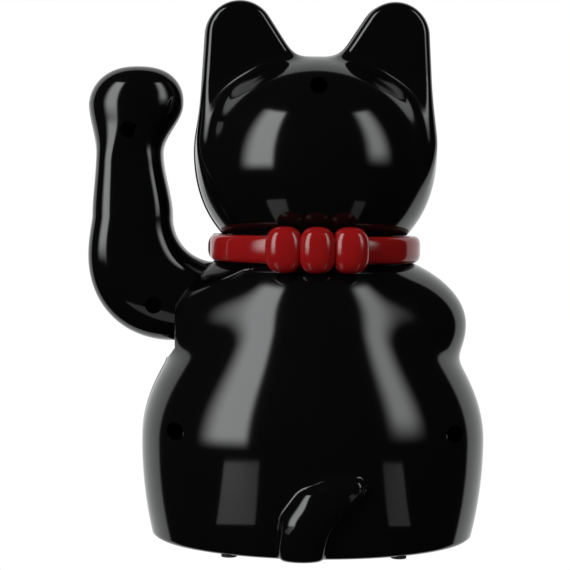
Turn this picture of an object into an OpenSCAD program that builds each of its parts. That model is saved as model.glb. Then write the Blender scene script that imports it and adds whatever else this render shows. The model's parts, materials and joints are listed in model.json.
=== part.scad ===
// Beckoning cat figurine whose left arm waves: a pendulum with a magnet hangs from the
// arm's shaft and a coil under it keeps it swinging. Millimetres, +Z up. The cat faces -Y
// and its left side is +X. The origin is the middle of its footprint on the table.

/* [Body] */
// Half width of the hips
hip_w = 48; // [46:0.5:49]
// Half depth of the hips
hip_d = 36.5; // [35:0.5:38]
// Half width of the shoulders
shoulder_w = 42.9; // [41.5:0.1:44]
// Thickness of the moulded walls
wall = 2; // [1.6:0.1:2.4]
// Height of the open lower rim above the table
rim_z = 1; // [0.8:0.1:1.4]

/* [Head] */
// Half width of the head
head_w = 33.5; // [33:0.1:36]
// Half depth of the head
head_d = 28; // [26:0.5:30]
// Height of the middle of the head
head_z = 105; // [104:0.5:106]
// Height of the middle of the collar
collar_z = 81.6; // [81:0.1:82]
// Height of the collar band
collar_h = 7.5; // [6:0.5:8]

/* [Arm] */
// Height of the arm's shaft
pivot_z = 67; // [66.5:0.1:67.5]
// Radius of the arm where it enters the shoulder
stub_r = 10.4; // [9.5:0.1:10.6]
// Radius of the lower part of the cup in the shoulder
cup_r = 12.2; // [11.4:0.1:12.4]
// Height of the middle of the paw
paw_z = 121.5; // [119:0.5:123]
// Half width of the paw
paw_w = 13.1; // [11.5:0.1:13.5]
// Thickness of the arm's walls
arm_wall = 1.8; // [1.5:0.1:2]

/* [Drive] */
// Diameter of the steel shaft
shaft_d = 3; // [2.5:0.5:3]
// Radial clearance of the shaft in its bushes
running_gap = 0.05; // [0.03:0.01:0.08]
// Distance of the pendulum from the middle of the body, to the cat's right
pendulum_x = -3; // [-4:0.5:-2]
// Distance from the shaft to the middle of the counterweight
weight_drop = 23; // [21:0.5:25]
// Radius of the counterweight
weight_r = 8.5; // [7:0.5:9]
// Shift of the counterweight towards the back, which balances the paw
weight_y = 0.3; // [-3:0.05:4]

/* [Battery] */
// Diameter of the battery cell
cell_d = 14.2; // [14:0.1:14.5]
// Length of the battery cell over its button
cell_l = 50.3; // [49.5:0.1:50.5]
// Distance of the cell behind the middle of the body
cell_y = 18; // [17.5:0.5:19]

/* [Hidden] */
$fn = 48;
tiny = 0.01;                   // makes a cut run past the face it cuts
seam = 0.04;                   // half the gap between the two halves of a shell
body_cols = 30;                // columns of facets round half of the body
arm_cols = 14;                 // columns of facets round half of the arm
axis_x = [0, 90, 0];           // turns a part built along +Z so that it runs along +X
axis_y = [-90, 0, 0];          // turns a part built along +Z so that it runs along +Y

neck_w = 25.2;                 // half width of the groove that the collar lies in
neck_d = 22.4;                 // half depth of the same groove
groove_low = collar_z - collar_h / 2 - 0.1;
groove_top = collar_z + collar_h / 2 + 0.1;

shell_screw_places = [[-38.3, 32], [38.3, 32], [0, 126.6]];
shell_screw_seat = 5;          // how far behind the seam the heads of the screws sit
shell_screw_l = 14;
arm_screw_places = [[44.6, 65.6], [51.8, 113.8]];
arm_screw_seat = 3;
arm_screw_l = 9;
base_screw_places = [[-33.9, 18], [33.9, 18], [-29, -17], [29, -17]];
pad_places = [[-22.6, 27.8], [22.6, 27.8], [-22, -31], [22, -31]];
pad_r = 2.1;

plate_t = 2.2;
plate_top = rim_z + plate_t;
cup_floor = 18;                // inner face of the cup's floor
// The cup's outline above its round part, as half width and height above the shaft
cup_lip = [[13.6, 3.4], [15, 5.7], [16.6, 8], [17.4, 10.5]];
stub_x = 19;                   // root end of the arm
hub_end = 35;
shaft_from = -23;
shaft_to = 34;
bush_x = [-18.25, 12.25];      // middles of the two uprights and their bushes
upright_t = 2.5;
bush_r = 3;
bush_l = 4;
frame_half_d = 6;
shelf_z = 14.5;                // underside of the shelf under the circuit board
shelf_t = 2;
board_z = shelf_z + shelf_t;
board_t = 1.6;
coil_z = board_z + board_t;
coil_h = 7.5;
coil_r = 8.5;
magnet_h = 4;
magnet_z = coil_z + coil_h + 2;
cell_z = plate_top + 0.4 + cell_d / 2;
bay_l = cell_l + 7;            // clear length of the battery bay
bay_w = cell_d + 1;            // clear width of the battery bay
bay_t = 1.6;
switch_place = [0, -24];
frame_screw_x = [-24.5, 18.5];
board_x = [-15, 10];
board_y = [-24, 8];
wire_r = 0.6;
wire_hole_z = 12;
positive_route = [[27.9, 12.95, 12], [27.9, 8, 12], [27.5, 4, 14], [24, -3, 20], [18, -9, 24],
                  [12, -11, 23], [8, -12, 18.75]];
negative_route = [[-27.9, 12.95, 12], [-27.9, 8, 12], [-28, 4, 14], [-26, -4, 20],
                  [-21, -10, 24], [-15, -12, 23], [-12, -12, 18.75]];

coin_place = [-2, -40, 40];    // middle of the coin's front face
coin_w = 23;
coin_l = 36;
coin_t = 2.4;
coin_peg_r = 1.5;
coin_peg_z = [36, 44];
bell_r = 5.6;
bell_at = [0, -neck_d - 8.6, collar_z - 10.5];

// ---- Outer form, as the signed distance to rounded masses that run into each other ----

function soft_min(a, b, k) = let (h = max(k - abs(a - b), 0) / k) min(a, b) - h * h * h * k / 6;

// An ellipsoid with its own radius below the middle where low is given.
function mass(p, c, r, low = 0) =
    let (q = p - c, rz = q.z < 0 && low > 0 ? low : r.z,
         k0 = norm([q.x / r.x, q.y / r.y, q.z / rz]),
         k1 = norm([q.x / r.x / r.x, q.y / r.y / r.y, q.z / rz / rz]))
    k0 < tiny ? -min(r) : k0 * (k0 - 1) / k1;

// A round cone from a to b, thinned along Y by flat.
function limb(p, a, b, ra, rb, flat = 1) =
    let (pa = [p.x - a.x, (p.y - a.y) / flat, p.z - a.z],
         ba = [b.x - a.x, (b.y - a.y) / flat, b.z - a.z],
         l2 = ba * ba, rr = ra - rb, a2 = l2 - rr * rr, y = pa * ba, z = y - l2,
         w = pa * l2 - ba * y, x2 = w * w, y2 = y * y * l2, z2 = z * z * l2,
         k = sign(rr) * rr * rr * x2,
         d = sign(z) * a2 * z2 > k ? sqrt(x2 + z2) / l2 - rb
           : sign(y) * a2 * y2 < k ? sqrt(x2 + y2) / l2 - ra
           : (sqrt(x2 * a2 / l2) + y * rr) / l2 - ra)
    d * (flat + 1) / 2;

// The tail, as a chain of round cones: middles and radii.
tail_chain = [[3.4, 35.4, -3, 5.3], [3.4, 36.8, 4.3, 5.7], [2.4, 37.5, 10, 6.1],
              [-0.4, 37.8, 14.6, 5.8], [-4.9, 37.8, 17.9, 4.6], [-10.2, 38, 20.4, 2.5]];
function link(p, i) = let (a = tail_chain[i], b = tail_chain[i + 1])
    limb(p, [a.x, a.y, a.z], [b.x, b.y, b.z], a[3], b[3], 0.65);
function tail_form(p, i = 0) = i == 4 ? link(p, i) : soft_min(link(p, i), tail_form(p, i + 1), 3);

function body_form(p) =
    let (m = [abs(p.x), p.y, p.z],
         hips = mass(p, [0, 2, 28], [hip_w, hip_d, 40.5], 75),
         torso = mass(p, [0, 2, 46], [35.5, 30, 44]),
         belly = mass(p, [0, -11, 34], [29, 24.5, 31]),
         shoulders = mass(p, [0, 0, 60.5], [shoulder_w, 27, 22.5], 27.8),
         thigh = limb(m, [31, -14, 19], [24, -31, 9.5], 15.5, 9.5),
         foot = mass(m, [22, -34, 7], [12, 10.5, 9], 14),
         forearm = limb(p, [-33, -9, 58], [-18, -31, 50], 10.5, 8.5),
         trunk = soft_min(soft_min(hips, torso, 14), belly, 8),
         legs = soft_min(soft_min(trunk, thigh, 5), foot, 2))
    soft_min(soft_min(soft_min(legs, shoulders, 4), forearm, 3), tail_form(p), 1);

// Half thickness of the ears, which grow thicker towards the skull.
function ear_thick(z) = 4.6 + 5 * ease((130 - z) / 20);
ear_round = 2.6;
// A flat form of the given outline and height, with its edges rounded.
function slab(outline, height, r) =
    let (u = outline + r, v = height + r) norm([max(u, 0), max(v, 0)]) + min(max(u, v), 0) - r;

function head_form(p) =
    let (m = [abs(p.x), p.y, p.z],
         skull = mass(p, [0, -1, head_z], [head_w, head_d, 30.3], 30.7),
         flat_ear = limb([m.x, 0, m.z], [14, 0, 112], [21.6, 0, 140.7], 18.9, 9.6),
         ear = slab(flat_ear, abs(p.y - 1) - ear_thick(p.z), ear_round),
         muzzle = mass(p, [0, -25, 95], [13, 7.5, 8]))
    soft_min(soft_min(skull, ear, 6), muzzle, 6);

function cat_form(p) = soft_min(body_form(p), head_form(p), 2);

// Distance along d from o at which the form's surface, moved in by inset, is met.
function reach(o, d, inset, lo, hi, flo, fhi, n) =
    let (r = (lo * fhi - hi * flo) / (fhi - flo), f = cat_form(o + d * r) + inset)
    n == 0 || abs(f) < 0.01 ? r
    : f > 0 ? reach(o, d, inset, lo, r, flo / (fhi > 0 ? 2 : 1), f, n - 1)
    : reach(o, d, inset, r, hi, f, fhi / (flo < 0 ? 2 : 1), n - 1);
function surface_point(o, d, inset) =
    let (near = 2, far = 70, f1 = cat_form(o + d * near) + inset, f2 = cat_form(o + d * far) + inset)
    o + d * reach(o, d, inset, near, far, f1, f2, 16);

// Angles of the columns, closer together at the tail and the feet.
function column(j, cols) = let (a = 180 * j / cols) a + 9 * sin(2 * a);

function level_row(z, cols, side, inset) =
    [for (j = [0 : cols]) let (t = column(j, cols))
        surface_point([0, 0, z], [cos(t), side * sin(t), 0], inset)];
function groove_row(z, cols, side, inset) =
    [for (j = [0 : cols]) let (t = column(j, cols))
        [(neck_w - inset) * cos(t), side * (neck_d - inset) * sin(t), z]];
function dome_row(e, cols, side, inset) =
    [for (j = [0 : cols]) let (t = column(j, cols))
        surface_point([0, 0, head_z], [cos(t) * cos(e), side * sin(t) * cos(e), sin(e)], inset)];

// Rows of points from the rim up to the crown on one side of the seam.
function body_rows(side, inset) = concat(
    [for (i = [0 : 23]) level_row(rim_z + (groove_low - inset - rim_z) * i / 23,
                                  body_cols, side, inset)],
    [for (z = [groove_low + 0.05 - inset, groove_top - 0.05 + inset])
        groove_row(z, body_cols, side, inset)],
    [for (i = [0 : 4]) let (z = groove_top + inset)
        level_row(z + (head_z - z) * i / 4, body_cols, side, inset)],
    [for (e = [6 : 6 : 84]) dome_row(e, body_cols, side, inset)]);
function crown(inset) = surface_point([0, 0, head_z], [0, 0, 1], inset);

// ---- The arm, as sections square to a spine that runs out, bends up and ends in the paw ----

bend_at = [28, 90];            // centre of the bend
inner_r = 12.1;                // the inside of the bend, round its centre
elbow = 6.4;                   // how far the elbow stands out
wrist_w = 9.3;
wrist_x = 52.2;
forearm_w = 11.2;
wrist_z = 107.9;
paw_h = 10.4;                  // height of the paw above its middle
function ease(u) = let (v = min(max(u, 0), 1)) v * v * (3 - 2 * v);
function half_w(z) = z < wrist_z
    ? forearm_w + (wrist_w - forearm_w) * ease((z - bend_at.y) / (wrist_z - bend_at.y))
    : wrist_w + (paw_w - wrist_w) * ease((z - wrist_z) / (paw_z - wrist_z));
function depth(z, side) = 9.6 - 0.9 * ease((z - 85) / 20)
    + (side > 0 ? 0.6 : 3.2) * ease((z - wrist_z) / (paw_z - wrist_z));
function middle_x(z) = let (low = bend_at.x + inner_r + forearm_w)
    low + (wrist_x - low) * ease((z - bend_at.y) / (wrist_z - bend_at.y))
    - 1.7 * ease((z - wrist_z) / (paw_z - wrist_z));

// One section: middle, half width and half depth, and the angle that its width points along.
function stub_section(x) = [[x, pivot_z], stub_r, stub_r, -90];
function bend_section(a, side) =
    let (turned = ease((a + 90) / 90),
         low = bend_at.y - pivot_z + stub_r,
         high = inner_r + 2 * forearm_w,
         out = low + (high - low) * turned + elbow * pow(abs(sin(2 * a)), 1.4),
         inside = bend_at.y - pivot_z - stub_r,
         inner = inside + (inner_r - inside) * turned,
         r = (inner + out) / 2)
    [bend_at + r * [cos(a), sin(a)], (out - inner) / 2,
     stub_r + (depth(bend_at.y, side) - stub_r) * turned, a];
function fore_section(z, side) = [[middle_x(z), z], half_w(z), depth(z, side), 0];
function paw_section(e, side, inset) =
    [[middle_x(paw_z), paw_z + (paw_h - inset) * sin(e)],
     (paw_w - inset) * pow(cos(e), 0.8) + inset, (depth(paw_z, side) - inset) * pow(cos(e), 0.8) + inset, 0];
function arm_sections(side, inset) = concat(
    [for (x = [stub_x, 22, 25]) stub_section(x)],
    [for (a = [-90 : 9 : -9]) bend_section(a, side)],
    [for (i = [0 : 10]) fore_section(bend_at.y + (paw_z - bend_at.y) * i / 10, side)],
    [for (e = [12 : 12 : 84]) paw_section(e, side, inset)]);
function arm_row(s, side, inset) =
    [for (j = [0 : arm_cols]) let (t = 180 * j / arm_cols, w = (s[1] - inset) * cos(t))
        [s[0].x + w * cos(s[3]), side * (s[2] - inset) * sin(t), s[0].y + w * sin(s[3])]];
function arm_rows(side, inset) = [for (s = arm_sections(side, inset)) arm_row(s, side, inset)];

// ---- Solids between grids of points ----

function grid_faces(rows, cols, at, pole) = let (n = cols + 1) concat(
    [for (i = [0 : rows - 2], j = [0 : cols - 1]) let (a = at + i * n + j) [a, a + n, a + n + 1]],
    [for (i = [0 : rows - 2], j = [0 : cols - 1]) let (a = at + i * n + j) [a, a + n + 1, a + 1]],
    [for (j = [0 : cols - 1]) let (a = at + (rows - 1) * n + j) [a, pole, a + 1]]);
function strip_faces(a, b) = [for (i = [0 : len(a) - 2], half = [0, 1])
    half == 0 ? [a[i], b[i], b[i + 1]] : [a[i], b[i + 1], a[i + 1]]];
function flip(faces, side) = side > 0 ? faces
    : [for (f = faces) [for (k = [len(f) - 1 : -1 : 0]) f[k]]];
function turned(faces) = flip(faces, -1);

// Half a hollow form: outer and inner rows that run up to a pole, closed along the seam.
module half_hollow(outer, inner, outer_pole, inner_pole, side) {
    rows = len(outer);
    cols = len(outer[0]) - 1;
    n = cols + 1;
    total = rows * n;
    points = concat([for (row = outer) each row], [for (row = inner) each row],
                    [outer_pole, inner_pole]);
    out_right = concat([for (i = [0 : rows - 1]) i * n], [2 * total]);
    in_right = concat([for (i = [0 : rows - 1]) total + i * n], [2 * total + 1]);
    out_left = concat([for (i = [0 : rows - 1]) i * n + cols], [2 * total]);
    in_left = concat([for (i = [0 : rows - 1]) total + i * n + cols], [2 * total + 1]);
    low_out = [for (j = [0 : cols]) j];
    low_in = [for (j = [0 : cols]) total + j];
    polyhedron(points, flip(concat(
        grid_faces(rows, cols, 0, 2 * total),
        turned(grid_faces(rows, cols, total, 2 * total + 1)),
        strip_faces(out_right, in_right),
        strip_faces(in_left, out_left),
        strip_faces(low_in, low_out)), side));
}

// Half a solid form, closed by its flat seam face and its flat lower end.
module half_solid(outer, pole, side) {
    rows = len(outer);
    cols = len(outer[0]) - 1;
    n = cols + 1;
    total = rows * n;
    half = floor(cols / 2);
    right = concat([for (i = [0 : rows - 1]) i * n], [total]);
    left = concat([for (i = [0 : rows - 1]) i * n + cols], [total]);
    seam_faces = [for (f = strip_faces(right, left)) if (f[1] != f[2] && f[0] != f[2]) f];
    low_right = [for (j = [0 : half]) j];
    low_left = [for (j = [0 : half]) cols - j];
    low_faces = [for (f = strip_faces(low_left, low_right)) if (f[1] != f[2] && f[0] != f[2]) f];
    polyhedron(concat([for (row = outer) each row], [pole]), flip(concat(
        grid_faces(rows, cols, 0, total), seam_faces, low_faces), side));
}

module body_half(side, inset = 0) { half_solid(body_rows(side, inset), crown(inset), side); }
module body_half_hollow(side) {
    half_hollow(body_rows(side, 0), body_rows(side, wall), crown(0), crown(wall), side);
}
module arm_half_hollow(side) {
    half_hollow(arm_rows(side, 0), arm_rows(side, arm_wall), [middle_x(paw_z), 0, paw_z + paw_h],
                [middle_x(paw_z), 0, paw_z + paw_h - arm_wall], side);
}

module rod_x(r, from, to, y = 0, z = 0) {
    translate([from, y, z]) rotate(axis_x) cylinder(r = r, h = to - from);
}
module rod_y(r, from, to, x = 0, z = 0) {
    translate([x, from, z]) rotate(axis_y) cylinder(r = r, h = to - from);
}
module block(from, to) { translate(from) cube(to - from); }

// ---- Body shells ----

// The cup's outline, grown outwards: a round lower part that widens for the arm's swing.
function cup_outline(grow) =
    let (lip = [for (i = [0 : 3]) cup_lip[i] + [grow, i == 3 ? grow : 0]])
    concat([for (a = [0 : -12 : -180]) (cup_r + grow) * [cos(a), sin(a)]],
           [for (q = lip) [-q.x, q.y]], [for (i = [3 : -1 : 0]) lip[i]]);
module cup_prism(grow, from, to) {
    translate([from, 0, pivot_z]) rotate([90, 0, 90]) linear_extrude(to - from) polygon(cup_outline(grow));
}
module shoulder_cup() {
    difference() {
        cup_prism(wall, cup_floor - wall, 44);
        cup_prism(0, cup_floor, 60);
    }
}
// Room for the arm, in front of and behind its shaft, and outside the shoulder.
module arm_room() {
    cup_prism(0, cup_floor, 60);
    rod_x(cup_r + 4.6, 38.6, 60, 0, pivot_z);
    rod_x(shaft_d / 2 + 0.7, cup_floor - wall - 1, cup_floor + 1, 0, pivot_z);
}
module base_screw_posts(side) {
    for (p = base_screw_places) if (p.y * side > 0)
        translate([p.x, p.y, plate_top + 0.05]) difference() {
            union() {
                cylinder(r = 3.2, h = 12);
                block([min(0, sign(p.x) * 20), -0.8, 1], [max(0, sign(p.x) * 20), 0.8, 12]);
            }
            translate([0, 0, -tiny]) cylinder(r = 1.1, h = 9);
        }
}
module back_shell() {
    color([0.02, 0.02, 0.02]) difference() {
        union() {
            body_half_hollow(1);
            intersection() {
                body_half(1, 0.6);
                union() {
                    for (p = shell_screw_places) rod_y(3.6, seam, 40, p.x, p.y);
                    shoulder_cup();
                    base_screw_posts(1);
                }
            }
        }
        for (p = shell_screw_places) {
            rod_y(2.35, shell_screw_seat, 60, p.x, p.y);
            rod_y(1.25, -1, shell_screw_seat + 1, p.x, p.y);
        }
        arm_room();
    }
}
module front_shell() {
    color([0.025, 0.025, 0.025]) difference() {
        union() {
            body_half_hollow(-1);
            intersection() {
                body_half(-1, 0.6);
                union() {
                    for (p = shell_screw_places) rod_y(3.6, -24, -seam, p.x, p.y);
                    shoulder_cup();
                    base_screw_posts(-1);
                }
            }
        }
        for (p = shell_screw_places) rod_y(1.1, -11, 1, p.x, p.y);
        for (z = coin_peg_z) rod_y(coin_peg_r + 0.1, -50, -20, coin_place.x, z);
        arm_room();
    }
}
module shell_screws() {
    color("silver") for (p = shell_screw_places)
        machine_screw([p.x, shell_screw_seat, p.y], axis_y, 2.1, 1.6, 1.1, shell_screw_l);
}
// A pan head above the origin of its place, with a cross recess, and a shank below.
module machine_screw(place, turn, head_r, head_h, shank_r, length) {
    translate(place) rotate(turn) {
        difference() {
            cylinder(r = head_r, h = head_h);
            for (a = [0, 90]) rotate([0, 0, a])
                translate([-head_r * 0.6, -0.25, head_h - 0.8]) cube([head_r * 1.2, 0.5, 1]);
        }
        translate([0, 0, -length]) cylinder(r = shank_r, h = length);
    }
}

// ---- Base ----

// The battery bay's outline, grown outwards, with its two back corners cut off.
module bay_outline(grow, corner) {
    x = bay_l / 2 + grow;
    high = cell_y + bay_w / 2 + grow;
    low = cell_y - bay_w / 2 - grow;
    polygon([[-x, low], [x, low], [x, high - corner], [x - corner, high],
             [corner - x, high], [-x, high - corner]]);
}
module base_plate() {
    outline = [for (j = [0 : 119]) let (a = 3 * j)
        let (p = surface_point([0, 0, rim_z], [cos(a), sin(a), 0], wall + 1)) [p.x, p.y]];
    color([0.05, 0.05, 0.05]) difference() {
        union() {
            translate([0, 0, rim_z]) linear_extrude(plate_t) polygon(outline);
            translate([0, 0, plate_top - tiny])
                linear_extrude(cell_d + 0.8 + bay_t + tiny) bay_outline(bay_t, 3.8);
        }
        block([-bay_l / 2, cell_y - bay_w / 2, rim_z - 1],
              [bay_l / 2, cell_y + bay_w / 2, plate_top]);
        translate([0, 0, plate_top - tiny]) linear_extrude(cell_d + 0.8 + tiny) bay_outline(0, 2.3);
        for (p = base_screw_places) translate([p.x, p.y, 0]) {
            cylinder(r = 2.2, h = rim_z + 1.2);
            cylinder(r = 1.3, h = 20);
        }
        for (x = frame_screw_x) translate([x, 0, plate_top - 1.2]) cylinder(r = 1.35, h = 2);
        block([switch_place.x - 4.2, switch_place.y - 1.6, 0],
              [switch_place.x + 4.2, switch_place.y + 1.6, 10]);
        for (side = [-1, 1])
            rod_y(1, cell_y - bay_w / 2 - bay_t - 1, cell_y - bay_w / 2 + 1, side * 27.9, wire_hole_z);
    }
}
module battery_door() {
    color([0.05, 0.05, 0.05]) difference() {
        block([-bay_l / 2 + 0.2, cell_y - bay_w / 2 + 0.2, rim_z],
              [bay_l / 2 - 0.2, cell_y + bay_w / 2 - 0.2, plate_top - 0.3]);
        for (i = [-2 : 2]) block([bay_l / 2 - 8 + i * 1.6, cell_y - 4, rim_z - tiny],
                                 [bay_l / 2 - 7.2 + i * 1.6, cell_y + 4, rim_z + 0.5]);
    }
}
module foot_pads() {
    color([0.2, 0.2, 0.2]) for (p = pad_places)
        translate([p.x, p.y, 0]) cylinder(r = pad_r, h = rim_z);
}
module base_screws() {
    color("silver") for (p = base_screw_places)
        machine_screw([p.x, p.y, rim_z + 1.2], [180, 0, 0], 2, 1, 1.1, 9);
}
module switch_body() {
    color([0.12, 0.12, 0.12]) difference() {
        block([switch_place.x - 6.5, switch_place.y - 3.5, plate_top],
              [switch_place.x + 6.5, switch_place.y + 3.5, plate_top + 5]);
        block([switch_place.x - 3.6, switch_place.y - 1.5, plate_top - 1],
              [switch_place.x + 3.6, switch_place.y + 1.5, plate_top + 2.5]);
    }
}
module switch_slider() {
    color([0.85, 0.85, 0.85]) block([switch_place.x - 3.2, switch_place.y - 1.2, rim_z - 0.5],
                                    [switch_place.x + 0.8, switch_place.y + 1.2, plate_top + 2]);
}

// ---- Arm ----

// Posts for the two screws and a rib that grips the hub, on one side of the seam.
module arm_inside(side) {
    intersection() {
        half_solid(arm_rows(side, 0.6), [middle_x(paw_z), 0, paw_z + paw_h - 0.6], side);
        union() {
            for (p = arm_screw_places) rod_y(3.2, min(side * seam, side * 20),
                                             max(side * seam, side * 20), p.x, p.y);
            rod_x(12, 29, 31, 0, pivot_z);
        }
    }
}
module arm_back_shell() {
    color([0.02, 0.02, 0.02]) difference() {
        union() {
            arm_half_hollow(1);
            arm_inside(1);
        }
        for (p = arm_screw_places) {
            rod_y(2.3, arm_screw_seat, 30, p.x, p.y);
            rod_y(1.15, -1, arm_screw_seat + 1, p.x, p.y);
        }
        hub_room();
    }
}
module arm_front_shell() {
    color([0.025, 0.025, 0.025]) difference() {
        union() {
            arm_half_hollow(-1);
            arm_inside(-1);
        }
        for (p = arm_screw_places) rod_y(1, -arm_screw_l + arm_screw_seat - 0.5, 1, p.x, p.y);
        hub_room();
    }
}
module hub_room() { rod_x(4.6, stub_x - 1, hub_end + 0.2, 0, pivot_z); }
module arm_screws() {
    color("silver") for (p = arm_screw_places)
        machine_screw([p.x, arm_screw_seat, p.y], axis_y, 2, 1.5, 1, arm_screw_l);
}
module arm_hub() {
    color("ivory") difference() {
        union() {
            rod_x(stub_r - arm_wall - 0.15, stub_x, stub_x + 2.5, 0, pivot_z);
            rod_x(4.5, stub_x, hub_end, 0, pivot_z);
        }
        rod_x(shaft_d / 2, stub_x - 1, shaft_to, 0, pivot_z);
    }
}
module arm_shaft() { color("silver") rod_x(shaft_d / 2, shaft_from, shaft_to, 0, pivot_z); }

// ---- Drive ----

module shaft_bushes() {
    color("goldenrod") for (i = [0, 1]) let (x = bush_x[i], out = i == 0 ? -1 : 1)
        difference() {
            union() {
                rod_x(bush_r, x - bush_l / 2, x + bush_l / 2, 0, pivot_z);
                rod_x(bush_r + 1, x + min(out * bush_l / 2, out * upright_t / 2),
                      x + max(out * bush_l / 2, out * upright_t / 2), 0, pivot_z);
            }
            rod_x(shaft_d / 2 + running_gap, x - bush_l, x + bush_l, 0, pivot_z);
        }
}
module shaft_clip() {
    color("dimgray") difference() {
        rod_x(3.2, shaft_from + 1, shaft_from + 1.8, 0, pivot_z);
        rod_x(shaft_d / 2, shaft_from, shaft_from + 3, 0, pivot_z);
        block([shaft_from, -1, pivot_z - 5], [shaft_from + 3, 1, pivot_z]);
    }
}
module mechanism_frame() {
    from = bush_x[0] - upright_t / 2;
    to = bush_x[1] + upright_t / 2;
    color("ivory") difference() {
        union() {
            for (x = bush_x) {
                block([x - upright_t / 2, -frame_half_d, plate_top],
                      [x + upright_t / 2, frame_half_d, pivot_z]);
                rod_x(frame_half_d, x - upright_t / 2, x + upright_t / 2, 0, pivot_z);
            }
            block([from, -frame_half_d, shelf_z], [to, frame_half_d, shelf_z + shelf_t]);
            for (side = [-1, 1]) let (x = side < 0 ? from : to)
                block([min(x, x + side * 9), -frame_half_d, plate_top],
                      [max(x, x + side * 9), frame_half_d, plate_top + 2.5]);
        }
        for (x = bush_x) rod_x(bush_r, x - 5, x + 5, 0, pivot_z);
        for (x = frame_screw_x) translate([x, 0, 0]) cylinder(r = 1.3, h = 10);
    }
}
module frame_screws() {
    color("silver") for (x = frame_screw_x)
        machine_screw([x, 0, plate_top + 2.5], [0, 0, 0], 2, 1.5, 1.3, 3.5);
}
module pendulum_lever() {
    low = magnet_z + magnet_h;
    color("ivory") difference() {
        union() {
            rod_x(5, pendulum_x - 6, pendulum_x + 6, 0, pivot_z);
            block([pendulum_x - 1.5, -4, low], [pendulum_x + 1.5, 4, pivot_z]);
            translate([pendulum_x, 0, low]) cylinder(r = 5.5, h = 2);
        }
        rod_x(shaft_d / 2, pendulum_x - 8, pendulum_x + 8, 0, pivot_z);
        rod_x(2, pendulum_x - 8, pendulum_x + 8, weight_y, pivot_z - weight_drop);
    }
}
module counterweight() {
    color("gray") translate([0, weight_y, pivot_z - weight_drop]) {
        for (side = [-1, 1]) rod_x(weight_r, pendulum_x + min(side * 1.5, side * 6.5),
                                   pendulum_x + max(side * 1.5, side * 6.5));
        rod_x(2, pendulum_x - 2, pendulum_x + 2);
    }
}
module pendulum_magnet() {
    color("dimgray") translate([pendulum_x, 0, magnet_z]) cylinder(r = 5, h = magnet_h);
}
module coil_bobbin() {
    color("white") translate([pendulum_x, 0, coil_z]) difference() {
        union() {
            cylinder(r = coil_r, h = 1);
            translate([0, 0, coil_h - 1]) cylinder(r = coil_r, h = 1);
            cylinder(r = 3.5, h = coil_h);
        }
        translate([0, 0, -1]) cylinder(r = 2, h = coil_h + 2);
    }
}
module coil_winding() {
    color("chocolate") translate([pendulum_x, 0, coil_z + 1]) difference() {
        cylinder(r = coil_r - 0.8, h = coil_h - 2);
        translate([0, 0, -1]) cylinder(r = 3.5, h = coil_h);
    }
}
module circuit_board() {
    color("green") block([board_x[0], board_y[0], board_z], [board_x[1], board_y[1], board_z + board_t]);
}
module transistor() {
    color([0.1, 0.1, 0.1]) translate([-9, -15, coil_z]) difference() {
        cylinder(r = 2.4, h = 4.8);
        block([-3, 1.2, -1], [3, 3, 6]);
    }
}
module capacitor() { color("navy") translate([3, -16, coil_z]) cylinder(r = 2.5, h = 7); }
module resistor() {
    color("tan") {
        rod_x(1.1, -6.5, -0.5, -20.5, coil_z + 1.1);
        rod_x(0.3, -9, 2, -20.5, coil_z + 1.1);
    }
}

// ---- Power ----

module battery_cell() {
    color("lightgray") {
        rod_x(cell_d / 2, -cell_l / 2, cell_l / 2 - 1.5, cell_y, cell_z);
        rod_x(2.7, cell_l / 2 - 1.5 - tiny, cell_l / 2, cell_y, cell_z);
    }
}
module contact_plate() {
    color("silver") block([bay_l / 2 - 0.5, cell_y - 5, plate_top + 1],
                          [bay_l / 2, cell_y + 5, cell_z + 6.5]);
}
// A conical spring that presses on the flat end of the cell, on its own plate.
module contact_spring() {
    plate = -bay_l / 2;
    turns = 3;
    steps = 14 * turns;
    rise = -cell_l / 2 - plate - 0.8;
    color("silver") union() {
        block([plate, cell_y - 5, plate_top + 1], [plate + 0.5, cell_y + 5, cell_z + 6.5]);
        wire([for (i = [0 : steps]) let (u = i / steps, a = 360 * turns * u, r = 4.6 - 2.2 * u)
            [plate + 0.4 + rise * u, cell_y + r * cos(a), cell_z + r * sin(a)]], 0.35);
    }
}

// A wire swept along its points with eight sides.
function side_way(d) = let (s = cross(d, [0.13, 0.21, 1])) s / norm(s);
module wire(points, r) {
    last = len(points) - 1;
    rings = [for (i = [0 : last])
        let (d = points[min(i + 1, last)] - points[max(i - 1, 0)], u = d / norm(d),
             s = side_way(u), t = cross(u, s))
        for (k = [0 : 7]) points[i] + r * (s * cos(45 * k) + t * sin(45 * k))];
    polyhedron(rings, concat([[for (k = [0 : 7]) k]],
        [for (i = [0 : last - 1], k = [0 : 7]) let (a = i * 8 + k, b = i * 8 + (k + 1) % 8)
            each [[a, a + 8, b + 8], [a, b + 8, b]]],
        [[for (k = [7 : -1 : 0]) last * 8 + k]]));
}
module positive_wire() { color("red") wire(positive_route, wire_r); }
module negative_wire() { color("black") wire(negative_route, wire_r); }

// ---- Collar, bell and coin ----

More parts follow.
